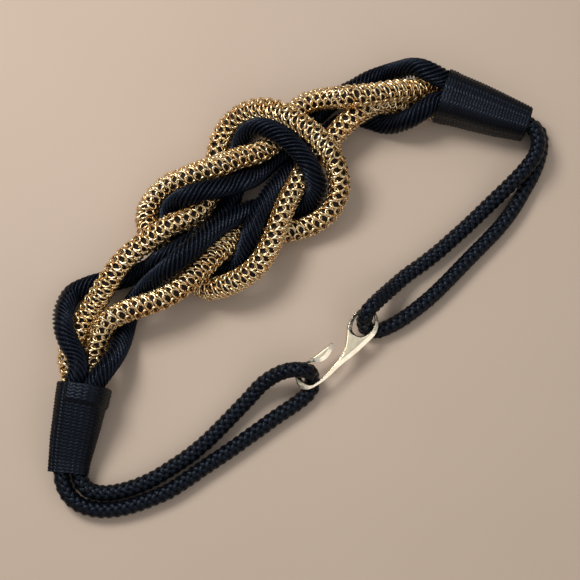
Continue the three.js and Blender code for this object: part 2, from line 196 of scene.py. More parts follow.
def smooth_line(route, radius, step=0.0005):
    """Points in even steps along a centripetal spline through the route, resting on the table."""
    points = np.array(route)
    points = np.vstack([2 * points[0] - points[1], points, 2 * points[-1] - points[-2]])
    share = np.linspace(0, 1, SPLINE_STEPS + 1)[:-1, None]
    dense = []
    for a, b, c, d in zip(points, points[1:], points[2:], points[3:]):
        ab, bc, cd = (np.linalg.norm(v) ** 0.5 for v in (b - a, c - b, d - c))
        start = ((b - a) / ab - (c - a) / (ab + bc) + (c - b) / bc) * bc
        end = ((c - b) / bc - (d - b) / (bc + cd) + (d - c) / cd) * bc
        dense.append(b + start * share + (3 * (c - b) - 2 * start - end) * share**2
                     + (2 * (b - c) + start + end) * share**3)
    dense = np.vstack(dense + [points[-2:-1]])
    dense[:, 2] = np.maximum(dense[:, 2], radius)
    run = np.r_[0, np.cumsum(np.linalg.norm(np.diff(dense, axis=0), axis=1))]
    even = np.linspace(0, run[-1], round(run[-1] / step) + 1)
    return np.column_stack([np.interp(even, run, dense[:, i]) for i in range(3)])


def length_of(line):
    return float(np.linalg.norm(np.diff(line, axis=0), axis=1).sum())


lines = {
    "left_gold_chain": smooth_line(LEFT_CHAIN_ROUTE, CHAIN_RADIUS),
    "left_black_cord": smooth_line(LEFT_CORD_ROUTE, CORD_RADIUS),
    "right_gold_chain": smooth_line(RIGHT_CHAIN_ROUTE, CHAIN_RADIUS),
    "right_black_cord": smooth_line(RIGHT_CORD_ROUTE, CORD_RADIUS),
    "left_loop_cord": smooth_line(LEFT_LOOP_ROUTE, LOOP_RADIUS),
    "right_loop_cord": smooth_line(RIGHT_LOOP_ROUTE, LOOP_RADIUS),
}
for name, line in lines.items():
    print(f"{name}: {length_of(line) * 1000:.0f} mm")

# %% [markdown]
# ## Helpers for node trees
# The twists, braids and links repeat along a line, so Geometry Nodes make them. One helper opens a
# tree with named inputs, one adds a node and joins its sockets, and one closes the tree. The short
# ones between are steps that the trees share. A finished tree is run on a line once, and what it
# makes is kept as a plain mesh.

# %% Node helpers
def new_tree(title, sizes):
    """A tree with a line going in, a shape coming out, and the named sizes beside the line."""
    tree = bpy.data.node_groups.new(title, "GeometryNodeTree")
    tree.interface.new_socket("Line", in_out="INPUT", socket_type="NodeSocketGeometry")
    tree.interface.new_socket("Shape", in_out="OUTPUT", socket_type="NodeSocketGeometry")
    for name, kind in sizes.items():
        tree.interface.new_socket(name, in_out="INPUT", socket_type="NodeSocket" + kind)
    return tree, tree.nodes.new("NodeGroupInput").outputs


def add(tree, kind, sockets=None, **settings):
    """Adds a node. A socket takes a value or the output of an earlier node."""
    node = tree.nodes.new(kind)
    for name, value in settings.items():
        setattr(node, name, value)
    for name, value in (sockets or {}).items():
        if isinstance(value, bpy.types.Node):
            value = value.outputs[0]
        if isinstance(value, bpy.types.NodeSocket):
            tree.links.new(value, node.inputs[name])
        else:
            node.inputs[name].default_value = value
    return node


def calc(tree, operation, a, b=0.0):
    return add(tree, "ShaderNodeMath", {0: a, 1: b}, operation=operation)


def scaled(tree, vector, scale):
    return add(tree, "ShaderNodeVectorMath", {0: vector, "Scale": scale}, operation="SCALE")


def circle(tree, points, radius):
    return add(tree, "GeometryNodeCurvePrimitiveCircle", {"Resolution": points, "Radius": radius},
               mode="RADIUS")


def stepped(tree, line, spacing):
    return add(tree, "GeometryNodeResampleCurve", {"Curve": line, "Length": spacing}, mode="LENGTH")


def stored(tree, shape, name, value):
    """Keeps a value on the shape under a name, for its material to read."""
    return add(tree, "GeometryNodeStoreNamedAttribute", {"Geometry": shape, "Name": name, "Value": value})


def swept(tree, line, profile, caps=True):
    return add(tree, "GeometryNodeCurveToMesh", {"Curve": line, "Profile Curve": profile, "Fill Caps": caps})


def painted(tree, shape, material):
    return add(tree, "GeometryNodeSetMaterial", {"Geometry": shape, "Material": material})


def joined(tree, *shapes):
    """Joins shapes in one and shades it smoothly."""
    both = add(tree, "GeometryNodeJoinGeometry")
    for shape in shapes:
        tree.links.new(shape.outputs[0], both.inputs[0])
    return add(tree, "GeometryNodeSetShadeSmooth", {"Geometry": both})


def close_tree(tree, shape):
    """Makes the instances real and ends the tree with them."""
    add(tree, "NodeGroupOutput", {"Shape": add(tree, "GeometryNodeRealizeInstances", {"Geometry": shape})})


def shape_along(name, line, tree, **sizes):
    """Runs the tree on a line and returns the result as a mesh object."""
    curve = bpy.data.curves.new(name + "_line", "CURVE")
    curve.dimensions = "3D"
    spline = curve.splines.new("POLY")
    spline.points.add(len(line) - 1)
    spline.points.foreach_set("co", np.column_stack([line, np.ones(len(line))]).ravel())
    holder = bpy.data.objects.new(name + "_line", curve)
    bpy.context.scene.collection.objects.link(holder)
    nodes = holder.modifiers.new("shape", "NODES")
    nodes.node_group = tree
    for socket in tree.interface.items_tree:
        if socket.in_out == "INPUT" and socket.name in sizes:
            nodes[socket.identifier] = sizes[socket.name]
    seen = holder.evaluated_get(bpy.context.evaluated_depsgraph_get())
    piece = bpy.data.objects.new(name, bpy.data.meshes.new_from_object(seen))
    bpy.data.objects.remove(holder)
    bpy.data.curves.remove(curve)
    bpy.context.scene.collection.objects.link(piece)
    piece.data.name = name
    print(f"{name}: {sum(len(p.vertices) - 2 for p in piece.data.polygons)} triangles")
    return piece

# %% [markdown]
# ## Materials
# Each finish is a small node graph. Patterns are read in object coordinates, so they stay on the piece
# from every side. The black fibre has painted shade in the grooves between the plies, strands and ribs
# and a painted, slightly bluer sheen on their crowns, and its bluish gloss shows the twist. The mesh is
# polished brass wire, paler in patches, over a dark brown tube that is painted shade for the hollow of the
# mesh.
# The hook is pale gold, satin on the flat of its face and polished on its sloping edges, and the flat is
# painted a little darker as shade for the dimmer light it reflects.

# %% Materials
YARN_LENGTH = 0.0015
YARN_SHIFT = 1.4
CROWN_SHADING_POWER = 2.2
# painted shade: the colour of the grooves, mixed towards each fibre's painted crown sheen
FIBRE_GROOVE_SHADE = (0.0006, 0.0007, 0.001)
FIBRE_TINT = (0.66, 0.78, 1.0, 1.0)
FIBRE_BUMP = 0.0004
CASTING_BUMP = 0.0002


def new_material(title, **finish):
    """A material with even values set on the shader itself. Returns it, its tree and its shader."""
    material = bpy.data.materials.new(title)
    material.use_nodes = True
    tree = material.node_tree
    shader = tree.nodes["Principled BSDF"]
    for name, value in finish.items():
        shader.inputs[name.replace("_", " ")].default_value = value
    return material, tree, shader


def noise(tree, scale, detail=2.0):
    place = add(tree, "ShaderNodeTexCoord")
    return add(tree, "ShaderNodeTexNoise",
               {"Vector": place.outputs["Object"], "Scale": scale, "Detail": detail}).outputs["Fac"]


def spread(tree, fac, low, high):
    """Stretches a noise value, which stays near the middle, to the range from low to high."""
    return add(tree, "ShaderNodeMapRange", {"Value": fac, "From Min": 0.3, "From Max": 0.7,
                                            "To Min": low, "To Max": high}).outputs[0]


def mixed(tree, fac, first, second):
    """Goes from the first colour to the second. A colour is three numbers or the output of a node."""
    mix = add(tree, "ShaderNodeMix", data_type="RGBA")
    tree.links.new(fac, mix.inputs["Factor"])
    for socket, colour in ((mix.inputs[6], first), (mix.inputs[7], second)):
        if isinstance(colour, tuple):
            socket.default_value = (*colour, 1)
        else:
            tree.links.new(colour, socket)
    return mix.outputs[2]


def gold_wire():
    material, tree, shader = new_material("gold_wire", Metallic=1.0)
    patches = spread(tree, noise(tree, 60), 0, 1)
    tree.links.new(mixed(tree, patches, (0.92, 0.64, 0.32), (1.0, 0.82, 0.50)), shader.inputs["Base Color"])
    tree.links.new(spread(tree, noise(tree, 900), 0.2, 0.3), shader.inputs["Roughness"])
    return material


# painted shade: a near-black brown for the tube inside the mesh, standing for the shade in its hollow
def mesh_shade_lining():
    material, tree, shader = new_material("mesh_shade_lining", Roughness=0.8)
    tree.links.new(mixed(tree, noise(tree, 700), (0.005, 0.002, 0.001), (0.014, 0.007, 0.003)),
                   shader.inputs["Base Color"])
    return material


def attribute(tree, name):
    """A value that the shape itself carries, such as how far along its line a point is."""
    return add(tree, "ShaderNodeAttribute", attribute_name=name).outputs["Fac"]


def black_fibre(title, light, scale, yarns=False):
    """Dyed black fibre with painted shade in its grooves and a painted bluish sheen on its crowns, with a
    cool gloss and a fine bump.
    """
    material, tree, shader = new_material(title, Specular_IOR_Level=0.25, Specular_Tint=FIBRE_TINT)
    grain = noise(tree, scale, 4)
    if yarns:
        turn = calc(tree, "ADD", calc(tree, "DIVIDE", attribute(tree, "run"), YARN_LENGTH),
                    calc(tree, "MULTIPLY", attribute(tree, "ply"), YARN_SHIFT))
        wave = calc(tree, "SINE", calc(tree, "MULTIPLY", turn, 2 * math.pi))
        grain = calc(tree, "ADD", calc(tree, "MULTIPLY", wave, 0.2), grain).outputs[0]
    # painted shade in the grooves and a painted bluish sheen on the crowns, by the stored crown value
    crown_shading = calc(tree, "POWER", attribute(tree, "crown_shading"), CROWN_SHADING_POWER).outputs[0]
    tree.links.new(mixed(tree, crown_shading, FIBRE_GROOVE_SHADE, light), shader.inputs["Base Color"])
    tree.links.new(spread(tree, noise(tree, scale / 3), 0.22, 0.38), shader.inputs["Roughness"])
    bump = add(tree, "ShaderNodeBump", {"Height": grain, "Strength": 0.4, "Distance": FIBRE_BUMP})
    tree.links.new(bump.outputs[0], shader.inputs["Normal"])
    return material


def pale_gold():
    material, tree, shader = new_material("cast_gold", Metallic=1.0)
    satin_and_shade = attribute(tree, "satin_and_shade")
    polished = mixed(tree, spread(tree, noise(tree, 90), 0, 1), (0.88, 0.76, 0.56), (0.95, 0.86, 0.68))
    # painted shade: the satin flat is coloured darker than the polished edges; its added roughness is the
    # real satin finish
    tree.links.new(mixed(tree, satin_and_shade, polished, (0.80, 0.70, 0.50)), shader.inputs["Base Color"])
    gloss = spread(tree, noise(tree, 400, 4), 0.18, 0.32)
    tree.links.new(calc(tree, "ADD", gloss, calc(tree, "MULTIPLY", satin_and_shade, 0.18)).outputs[0],
                   shader.inputs["Roughness"])
    bump = add(tree, "ShaderNodeBump", {"Height": noise(tree, 500), "Strength": 0.15,
                                        "Distance": CASTING_BUMP})
    tree.links.new(bump.outputs[0], shader.inputs["Normal"])
    return material


wire = gold_wire()
shade_lining = mesh_shade_lining()
# each light colour is the painted sheen on the crowns of that fibre
cord_fibre = black_fibre("cord_fibre", light=(0.005, 0.007, 0.013), scale=2600, yarns=True)
loop_fibre = black_fibre("loop_fibre", light=(0.002, 0.0028, 0.0046), scale=3200)
tape_fibre = black_fibre("tape_fibre", light=(0.005, 0.007, 0.012), scale=2400)
cast_gold = pale_gold()
print("materials:", ", ".join(m.name for m in (wire, shade_lining, cord_fibre, loop_fibre, tape_fibre, cast_gold)))

# %% [markdown]
# ## Twisted cords
# A thick cord is made of plies that are laid round each other. It could be modelled ply by ply, but
# the plies touch, so only their outer halves ever show. One profile with a rounded lobe for each ply
# is swept along the line instead, and the line is tilted steadily so that the lobes wind round it.
# The shape carries three values for its material: the run along the line, the number of the ply and
# how high each point is on its lobe, which the material uses to paint shade in the grooves and a sheen on the
# crowns.

# %% Twisted cords
POINTS_PER_PLY = 6


def twisted_cord_tree():
    tree, sizes = new_tree("Twisted cord", {"Spacing": "Float", "Radius": "Float", "Plies": "Int",
                                            "Groove": "Float", "Lay": "Float", "Fibre": "Material"})
    line = stepped(tree, sizes["Line"], sizes["Spacing"])
    line = add(tree, "GeometryNodeSetCurveNormal", {"Curve": line})
    run = add(tree, "GeometryNodeSplineParameter").outputs["Length"]
    turns = calc(tree, "DIVIDE", run, sizes["Lay"])
    line = add(tree, "GeometryNodeSetCurveTilt",
               {"Curve": line, "Tilt": calc(tree, "MULTIPLY", turns, -2 * math.pi)})
    line = stored(tree, line, "run", run)
    profile = circle(tree, calc(tree, "MULTIPLY", sizes["Plies"], POINTS_PER_PLY), sizes["Radius"])
    index = add(tree, "GeometryNodeInputIndex")
    half_turn = calc(tree, "MULTIPLY", index, math.pi / POINTS_PER_PLY)
    lobe = calc(tree, "ABSOLUTE", calc(tree, "SINE", half_turn))
    dip = calc(tree, "MULTIPLY", calc(tree, "SUBTRACT", 1.0, lobe), sizes["Groove"])
    drawn = scaled(tree, add(tree, "GeometryNodeInputPosition"), calc(tree, "SUBTRACT", 1.0, dip))
    profile = add(tree, "GeometryNodeSetPosition", {"Geometry": profile, "Position": drawn})
    profile = stored(tree, profile, "ply", calc(tree, "DIVIDE", index, POINTS_PER_PLY))
    # painted shade and sheen: the lobe's height is stored so the material paints grooves dark and crowns
    # light
    profile = stored(tree, profile, "crown_shading", lobe)
    cord = add(tree, "GeometryNodeSetShadeSmooth", {"Geometry": swept(tree, line, profile)})
    close_tree(tree, painted(tree, cord, sizes["Fibre"]))
    return tree


CORD_SIZES = {"Spacing": 0.0008, "Radius": 0.0059, "Plies": 10, "Groove": 0.36, "Lay": 0.030}
cord_tree = twisted_cord_tree()
cords = {}
for name in ("left_black_cord", "right_black_cord"):
    cords[name] = shape_along("twisted_" + name, lines[name], cord_tree, Fibre=cord_fibre, **CORD_SIZES)

# %% [markdown]
# ## Braided loops
# The thin loops are round braids: four strands wind one way and four the other, and they pass over
# and under each other in turn. Each strand is a helix whose distance from the middle rises and falls
# once for every two crossings. The tree copies the line eight times and moves each copy. A thin core
# fills the middle.

# %% Braided loops
STRANDS_EACH_WAY = 4
STRAND_SIDES = 8
CORE_SIDES = 12


def braid_tree():
    tree, sizes = new_tree("Round braid", {"Spacing": "Float", "Radius": "Float", "Weave": "Float",
                                           "Strand": "Float", "Flatness": "Float", "Pitch": "Float",
                                           "Core": "Float", "Fibre": "Material"})
    line = stepped(tree, sizes["Line"], sizes["Spacing"])
    line = add(tree, "GeometryNodeSetCurveNormal", {"Curve": line})
    copies = add(tree, "GeometryNodeDuplicateElements", {"Geometry": line, "Amount": 2 * STRANDS_EACH_WAY},
                 domain="SPLINE")
    number = copies.outputs["Duplicate Index"]
    way = calc(tree, "SUBTRACT", calc(tree, "MULTIPLY", calc(tree, "MODULO", number, 2), 2), 1)
    pair = calc(tree, "FLOOR", calc(tree, "DIVIDE", number, 2))
    run = add(tree, "GeometryNodeSplineParameter").outputs["Length"]
    turn = calc(tree, "MULTIPLY", calc(tree, "DIVIDE", run, sizes["Pitch"]), 2 * math.pi)
    angle = calc(tree, "ADD", calc(tree, "MULTIPLY", turn, way),
                 calc(tree, "MULTIPLY", pair, 2 * math.pi / STRANDS_EACH_WAY))
    swell = calc(tree, "COSINE", calc(tree, "MULTIPLY", turn, STRANDS_EACH_WAY))
    over = calc(tree, "MULTIPLY", swell, way)
    out = calc(tree, "ADD", sizes["Radius"], calc(tree, "MULTIPLY", over, sizes["Weave"]))

    side = add(tree, "GeometryNodeInputNormal").outputs["Normal"]
    ahead = add(tree, "GeometryNodeInputTangent")
    across = add(tree, "ShaderNodeVectorMath", {0: ahead, 1: side}, operation="CROSS_PRODUCT")
    spoke = add(tree, "ShaderNodeVectorMath", {0: scaled(tree, side, calc(tree, "COSINE", angle)),
                                               1: scaled(tree, across, calc(tree, "SINE", angle))},
                operation="ADD")
    kept = add(tree, "GeometryNodeCaptureAttribute", {"Geometry": copies})
    kept.capture_items.new("VECTOR", "Spoke")
    tree.links.new(spoke.outputs[0], kept.inputs["Spoke"])
    spoke = kept.outputs["Spoke"]
    strands = add(tree, "GeometryNodeSetPosition", {"Geometry": kept, "Offset": scaled(tree, spoke, out)})
    strands = add(tree, "GeometryNodeSetCurveNormal", {"Curve": strands, "Normal": spoke}, mode="FREE")

    profile = circle(tree, STRAND_SIDES, sizes["Strand"])
    # painted shade and sheen: the outer side of each strand is stored as light, the side towards the core as
    # dark
    outward = add(tree, "ShaderNodeSeparateXYZ", {0: add(tree, "GeometryNodeInputPosition")}).outputs["X"]
    crown_shading = calc(tree, "MULTIPLY", calc(tree, "DIVIDE", outward, sizes["Strand"]), 0.5)
    profile = stored(tree, profile, "crown_shading", calc(tree, "ADD", crown_shading, 0.5))
    flat = add(tree, "ShaderNodeCombineXYZ", {0: sizes["Flatness"], 1: 1.0, 2: 1.0})
    profile = add(tree, "GeometryNodeTransform", {"Geometry": profile, "Scale": flat})
    core = swept(tree, line, circle(tree, CORE_SIDES, sizes["Core"]))
    loop = joined(tree, swept(tree, strands, profile), core)
    close_tree(tree, painted(tree, loop, sizes["Fibre"]))
    return tree


LOOP_SIZES = {"Spacing": 0.0009, "Radius": 0.0033, "Weave": 0.00045, "Strand": 0.0016, "Flatness": 0.55,
              "Pitch": 0.017, "Core": 0.0031}
LOOP_THICKNESS = 0.0091
loop_tree = braid_tree()
loops = {}
for name in ("left_loop_cord", "right_loop_cord"):
    loops[name] = shape_along("braided_" + name, lines[name], loop_tree, Fibre=loop_fibre, **LOOP_SIZES)

# %% [markdown]
# ## Gold mesh tubes
# The mesh is built from oval wire rings whose long side lies across the tube. The rings of one row
# are set between the rings of the next, and every ring leans and slants, so that the rows overlap like
# scales. One ring is instanced round a circle, and the circle along the line. Inside is a dark tube,
# painted shade for the hollow of the mesh, which shows through the rings. The rings reach further out than
# the plain tube of the solid, so the lowest stretches of the line are lifted a little, to keep the rings out
# of the table.

# %% Gold mesh tubes
RING_SIDES = 14
WIRE_SIDES = 5
SHADE_LINING_SIDES = 16
SHADE_LINING_STEP = 0.003
MESH_REACH = 0.0075


def mesh_tube_tree():
    tree, sizes = new_tree("Mesh tube", {"Row spacing": "Float", "Rings round": "Int", "Radius": "Float",
                                         "Ring length": "Float", "Ring width": "Float", "Wire": "Float",
                                         "Bend": "Float", "Lean": "Float", "Slant": "Float",
                                         "Lining radius": "Float",
                                         "Metal": "Material", "Lining": "Material"})
    oval = add(tree, "ShaderNodeCombineXYZ", {0: calc(tree, "MULTIPLY", sizes["Ring width"], 0.5),
                                              1: calc(tree, "MULTIPLY", sizes["Ring length"], 0.5), 2: 1.0})
    across = add(tree, "ShaderNodeSeparateXYZ", {0: add(tree, "GeometryNodeInputPosition")}).outputs["Y"]
    sag = calc(tree, "MULTIPLY", calc(tree, "MULTIPLY", across, across), sizes["Bend"])
    drop = add(tree, "ShaderNodeCombineXYZ", {2: sag})
    ring = add(tree, "GeometryNodeSetPosition", {"Geometry": circle(tree, RING_SIDES, 1.0), "Offset": drop})
    slant = add(tree, "ShaderNodeCombineXYZ", {2: sizes["Slant"]})
    ring = add(tree, "GeometryNodeTransform", {"Geometry": ring, "Rotation": slant, "Scale": oval})
    ring = swept(tree, ring, circle(tree, WIRE_SIDES, sizes["Wire"]), caps=False)
    upright = add(tree, "ShaderNodeCombineXYZ", {1: calc(tree, "ADD", sizes["Lean"], math.pi / 2)})
    ring = add(tree, "GeometryNodeTransform", {"Geometry": ring, "Rotation": upright})

    seats = add(tree, "GeometryNodeMeshCircle", {"Vertices": sizes["Rings round"], "Radius": sizes["Radius"]})
    apart = calc(tree, "DIVIDE", 2 * math.pi, sizes["Rings round"])
    facing = add(tree, "ShaderNodeCombineXYZ",
                 {2: calc(tree, "MULTIPLY", add(tree, "GeometryNodeInputIndex"), apart)})
    row = add(tree, "GeometryNodeInstanceOnPoints",
              {"Points": seats, "Instance": ring, "Rotation": facing})

    line = add(tree, "GeometryNodeSetCurveNormal", {"Curve": sizes["Line"]})
    stops = add(tree, "GeometryNodeCurveToPoints", {"Curve": line, "Length": sizes["Row spacing"]},
                mode="LENGTH")
    odd = calc(tree, "MODULO", add(tree, "GeometryNodeInputIndex"), 2)
    spin = add(tree, "ShaderNodeCombineXYZ", {2: calc(tree, "MULTIPLY", odd, calc(tree, "DIVIDE", apart, 2))})
    facing = add(tree, "FunctionNodeRotateRotation", {"Rotation": stops.outputs["Rotation"],
                                                      "Rotate By": spin}, rotation_space="LOCAL")
    rows = add(tree, "GeometryNodeInstanceOnPoints",
               {"Points": stops, "Instance": row, "Rotation": facing})
    rings = painted(tree, rows, sizes["Metal"])

    # painted shade: a dark tube inside the rings stands for the shade in the hollow of the mesh
    tube = circle(tree, SHADE_LINING_SIDES, sizes["Lining radius"])
    tube = swept(tree, stepped(tree, line, SHADE_LINING_STEP), tube)
    close_tree(tree, joined(tree, rings, painted(tree, tube, sizes["Lining"])))
    return tree


MESH_SIZES = {"Row spacing": 0.0026, "Rings round": 4, "Radius": 0.0054, "Ring length": 0.0062,
              "Ring width": 0.0042, "Wire": 0.00064, "Bend": -0.0011, "Lean": math.radians(30),
              "Slant": math.radians(20), "Lining radius": 0.0039}
mesh_tree = mesh_tube_tree()
chains = {}
for name in ("left_gold_chain", "right_gold_chain"):
    resting = np.column_stack([lines[name][:, :2], np.maximum(lines[name][:, 2], MESH_REACH)])
    chains[name] = shape_along("mesh_" + name, resting, mesh_tree, Metal=wire, Lining=shade_lining, **MESH_SIZES)

# %% [markdown]
# ## Woven wraps
# A wrap is a band of woven tape, drawn tight round the ends of a rope. It is lofted through a few
# cross sections that stand on the table, with an outer and an inner skin. The ribs of the weave are
# part of the shape: the outer skin rises and falls in a zigzag, as a herringbone tape does. At its
# mouth the wrap is a little thicker, like a collar.

# %% Woven wraps
LEFT_WRAP_SECTIONS = [
    {"x": -0.1238, "y": -0.0604, "width": 0.0282, "height": 0.0284},
    {"x": -0.1243, "y": -0.064, "width": 0.028, "height": 0.0284},
    {"x": -0.1251, "y": -0.0685, "width": 0.0276, "height": 0.0278},
    {"x": -0.1269, "y": -0.078, "width": 0.0266, "height": 0.024},
    {"x": -0.1294, "y": -0.09, "width": 0.025, "height": 0.019},
    {"x": -0.1313, "y": -0.101, "width": 0.0226, "height": 0.015},
    {"x": -0.132, "y": -0.1078, "width": 0.0218, "height": 0.0134},
]
RIGHT_WRAP_SECTIONS = [
    {"x": 0.0791, "y": 0.1106, "width": 0.0298, "height": 0.0286},
    {"x": 0.0857, "y": 0.1083, "width": 0.0289, "height": 0.0284},
    {"x": 0.0895, "y": 0.1072, "width": 0.0281, "height": 0.0276},
    {"x": 0.0998, "y": 0.1037, "width": 0.0266, "height": 0.0262},
    {"x": 0.1121, "y": 0.0994, "width": 0.0238, "height": 0.0245},
    {"x": 0.1226, "y": 0.0962, "width": 0.0206, "height": 0.0224},
    {"x": 0.1293, "y": 0.094, "width": 0.0185, "height": 0.0212},
]
WRAP_WALL = 0.0012
WRAP_SQUARENESS = 2.8
WRAP_TOP_SQUARENESS = 2.6
WEAVE_STEP = 0.0004
GIRTH_SHARE = 0.9
STITCH_FLOOR = 0.15
STITCH_POWER = 1.5
COLLAR_EDGE = 0.0005
COLLAR_SIDE = 0.05


def woven_wrap(name, sections, rib_pitch, rib_height, zigzag_width, zigzag_lean, collar):
    """A sleeve through the sections. The collar is the length and height of the step at its mouth, and
    how far it reaches across the sleeve. A rounded section has only a share of its box's girth."""
    table = np.array([[s["x"], s["y"], s["width"], s["height"]] for s in sections])
    run = np.r_[0, np.cumsum(np.hypot(*np.diff(table[:, :2], axis=0).T))]
    along = np.linspace(0, run[-1], round(run[-1] / WEAVE_STEP) + 1)
    x, y, width, height = (np.interp(along, run, table[:, i]) for i in range(4))
    heading = np.column_stack([np.gradient(x), np.gradient(y)])
    heading /= np.linalg.norm(heading, axis=1)[:, None]
    count = round(2 * (table[0, 2] + table[0, 3]) * GIRTH_SHARE / WEAVE_STEP)
    angle = np.linspace(0, 2 * math.pi, count, endpoint=False)
    power = 2 / np.where(np.sin(angle) > 0, WRAP_TOP_SQUARENESS, WRAP_SQUARENESS)
    across = np.sign(np.cos(angle)) * np.abs(np.cos(angle)) ** power
    up = np.sign(np.sin(angle)) * np.abs(np.sin(angle)) ** power
    # even steps round the section, so that the ribs are as wide at its corners as on its flats
    edge = np.r_[0, np.cumsum(np.hypot(np.diff(np.r_[across, across[0]]), np.diff(np.r_[up, up[0]])))]
    even = np.linspace(0, edge[-1], count, endpoint=False)
    across = np.interp(even, edge, np.r_[across, across[0]])
    up = np.interp(even, edge, np.r_[up, up[0]])
    around = even / edge[-1] * 2 * (table[2, 2] + table[2, 3]) * GIRTH_SHARE

    sway = np.abs((around / zigzag_width) % 2 - 1) * zigzag_lean
    stitch = np.abs(np.sin(math.pi * around / zigzag_width)) ** STITCH_POWER
    stitch = STITCH_FLOOR + (1 - STITCH_FLOOR) * stitch
    ribs = stitch * np.cos(2 * math.pi * (along[:, None] / rib_pitch + sway[None, :]))
    length, height_of_step, reach = collar
    mouth = 0.5 - 0.5 * np.tanh((along - length) / COLLAR_EDGE)
    near_side = 0.5 - 0.5 * np.tanh((across - reach) / COLLAR_SIDE)
    step = np.outer(mouth, near_side)

    def skin(inset, ribbed):
        rise = np.zeros((len(along), count)) - inset
        if ribbed:
            rise += rib_height * ribs + height_of_step * step
        wide = (width[:, None] / 2 + rise) * across
        tall = (height[:, None] / 2 + rise) * up
        return np.stack([x[:, None] + heading[:, 1:] * wide, y[:, None] - heading[:, :1] * wide,
                         np.maximum(height[:, None] / 2 + tall, 0)], axis=2).reshape(-1, 3)

    points = np.vstack([skin(0, True), skin(WRAP_WALL, False)])
    here = np.arange(count)
    after = (here + 1) % count
    faces = []
    inner = len(along) * count
    for a in range(0, inner - count, count):
        b = a + count
        faces += [(a + i, b + i, b + j, a + j) for i, j in zip(here, after)]
        faces += [(inner + a + i, inner + a + j, inner + b + j, inner + b + i) for i, j in zip(here, after)]
    last = inner - count
    faces += [(i, j, inner + j, inner + i) for i, j in zip(here, after)]
    faces += [(last + i, inner + last + i, inner + last + j, last + j) for i, j in zip(here, after)]
    data = bpy.data.meshes.new(name)
    data.from_pydata(points.tolist(), [], [tuple(int(v) for v in f) for f in faces])
    data.shade_smooth()
    data.materials.append(tape_fibre)
    # painted shade and sheen: rib crowns are stored as light, rib grooves and the whole inner skin as dark
    crown_shading = np.r_[(ribs.ravel() + 1) / 2, np.zeros(ribs.size)].astype(np.float32)
    data.attributes.new("crown_shading", "FLOAT", "POINT").data.foreach_set("value", crown_shading)
    piece = bpy.data.objects.new(name, data)
    bpy.context.scene.collection.objects.link(piece)
    print(f"{name}: {2 * len(faces)} triangles")
    return piece


wraps = {
    "left_wrap": woven_wrap("woven_left_wrap", LEFT_WRAP_SECTIONS, rib_pitch=0.0018, rib_height=0.0004,
                            zigzag_width=0.0019, zigzag_lean=0.7, collar=(0.0098, 0.001, 0.45)),
    "right_wrap": woven_wrap("woven_right_wrap", RIGHT_WRAP_SECTIONS, rib_pitch=0.0018, rib_height=0.0004,
                             zigzag_width=0.0026, zigzag_lean=0.45, collar=(0.006, 0.0003, 2)),
}

# %% [markdown]
# ## Outlines of the hook
# The hook's outline and the rim of its eye are read from the upper face of the solid, so the two
# can't differ. An edge that only one of the flat faces uses is part of an outline, and such edges are
# chained into closed rims. A point is on the metal if a ray from it crosses the rims an odd number of
# times.

# %% Outlines of the hook
SAME_POINT = 1e-6
SAME_HEIGHT = 1e-5


def rims_at_top(node):
    """The closed outlines of a plate's upper face, as lists of points, the longest list first."""
    mesh = bmesh.new()
    mesh.from_mesh(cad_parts[node].data)
    bmesh.ops.remove_doubles(mesh, verts=mesh.verts, dist=SAME_POINT)
    top = max(v.co.z for v in mesh.verts)
    flat = {f for f in mesh.faces if all(abs(v.co.z - top) < SAME_HEIGHT for v in f.verts)}
    edges = [e for e in mesh.edges if len([f for f in e.link_faces if f in flat]) == 1]
    rims = []
    while edges:
        edge = edges.pop()
        rim = [edge.verts[0], edge.verts[1]]
        while True:
            following = next((e for e in edges if rim[-1] in e.verts), None)
            if following is None:
                break
            edges.remove(following)
            rim.append(following.other_vert(rim[-1]))
        rims.append([v.co.copy() for v in rim[:-1]])
    mesh.free()
    return sorted(rims, key=len, reverse=True)


def within(points, rims):
    """True for each point on the metal, by how often a ray crosses the outlines."""
    crossings = np.zeros(len(points), int)
    for rim in rims:
        a = np.array([p.xy for p in rim])
        b = np.roll(a, -1, axis=0)
        x = points[:, :1]
        y = points[:, 1:]
        spans = (a[:, 1] > y) != (b[:, 1] > y)
        rise = np.where(b[:, 1] == a[:, 1], 1, b[:, 1] - a[:, 1])
        crossings += (spans & (x < a[:, 0] + (y - a[:, 1]) / rise * (b[:, 0] - a[:, 0]))).sum(axis=1)
    return crossings % 2 == 1


hook_rims = rims_at_top("hook")
print("hook outlines:", ", ".join(f"{len(rim)} points" for rim in hook_rims))

# %% [markdown]
# ## Hook
# The hook is one flat casting with sloping edges: an eye for one loop, a shaft, a bend for the other
# loop and a barb. Its face is filled with triangles between the outlines, and each corner is lowered
# by how near it is to the edge. The real casting slopes more broadly on its lower right edges, and the
# flat of its face is satin and painted a little darker, as shade for the dimmer light it reflects. The
# underside has the same slopes.

# %% Hook
HOOK_EDGE = 0.0007
HOOK_SLOPE = 1.4
HOOK_BROAD_EDGE = 0.0024
HOOK_BROAD_SLOPE = 0.5
HOOK_BROAD_SIDE = np.array([0.64, -0.77])
HOOK_BROAD_GAIN = 1.6
HOOK_STEP = 0.00038
HOOK_MARGIN = 0.45
HOOK_CREASE = math.radians(42)
SATIN_AND_SHADE_START = 0.85
SATIN_AND_SHADE_BLEND = 0.3
FILL_TOLERANCE = 1e-7


def signed_area(rim):
    return sum(a.x * b.y - b.x * a.y for a, b in zip(rim, rim[1:] + rim[:1])) / 2


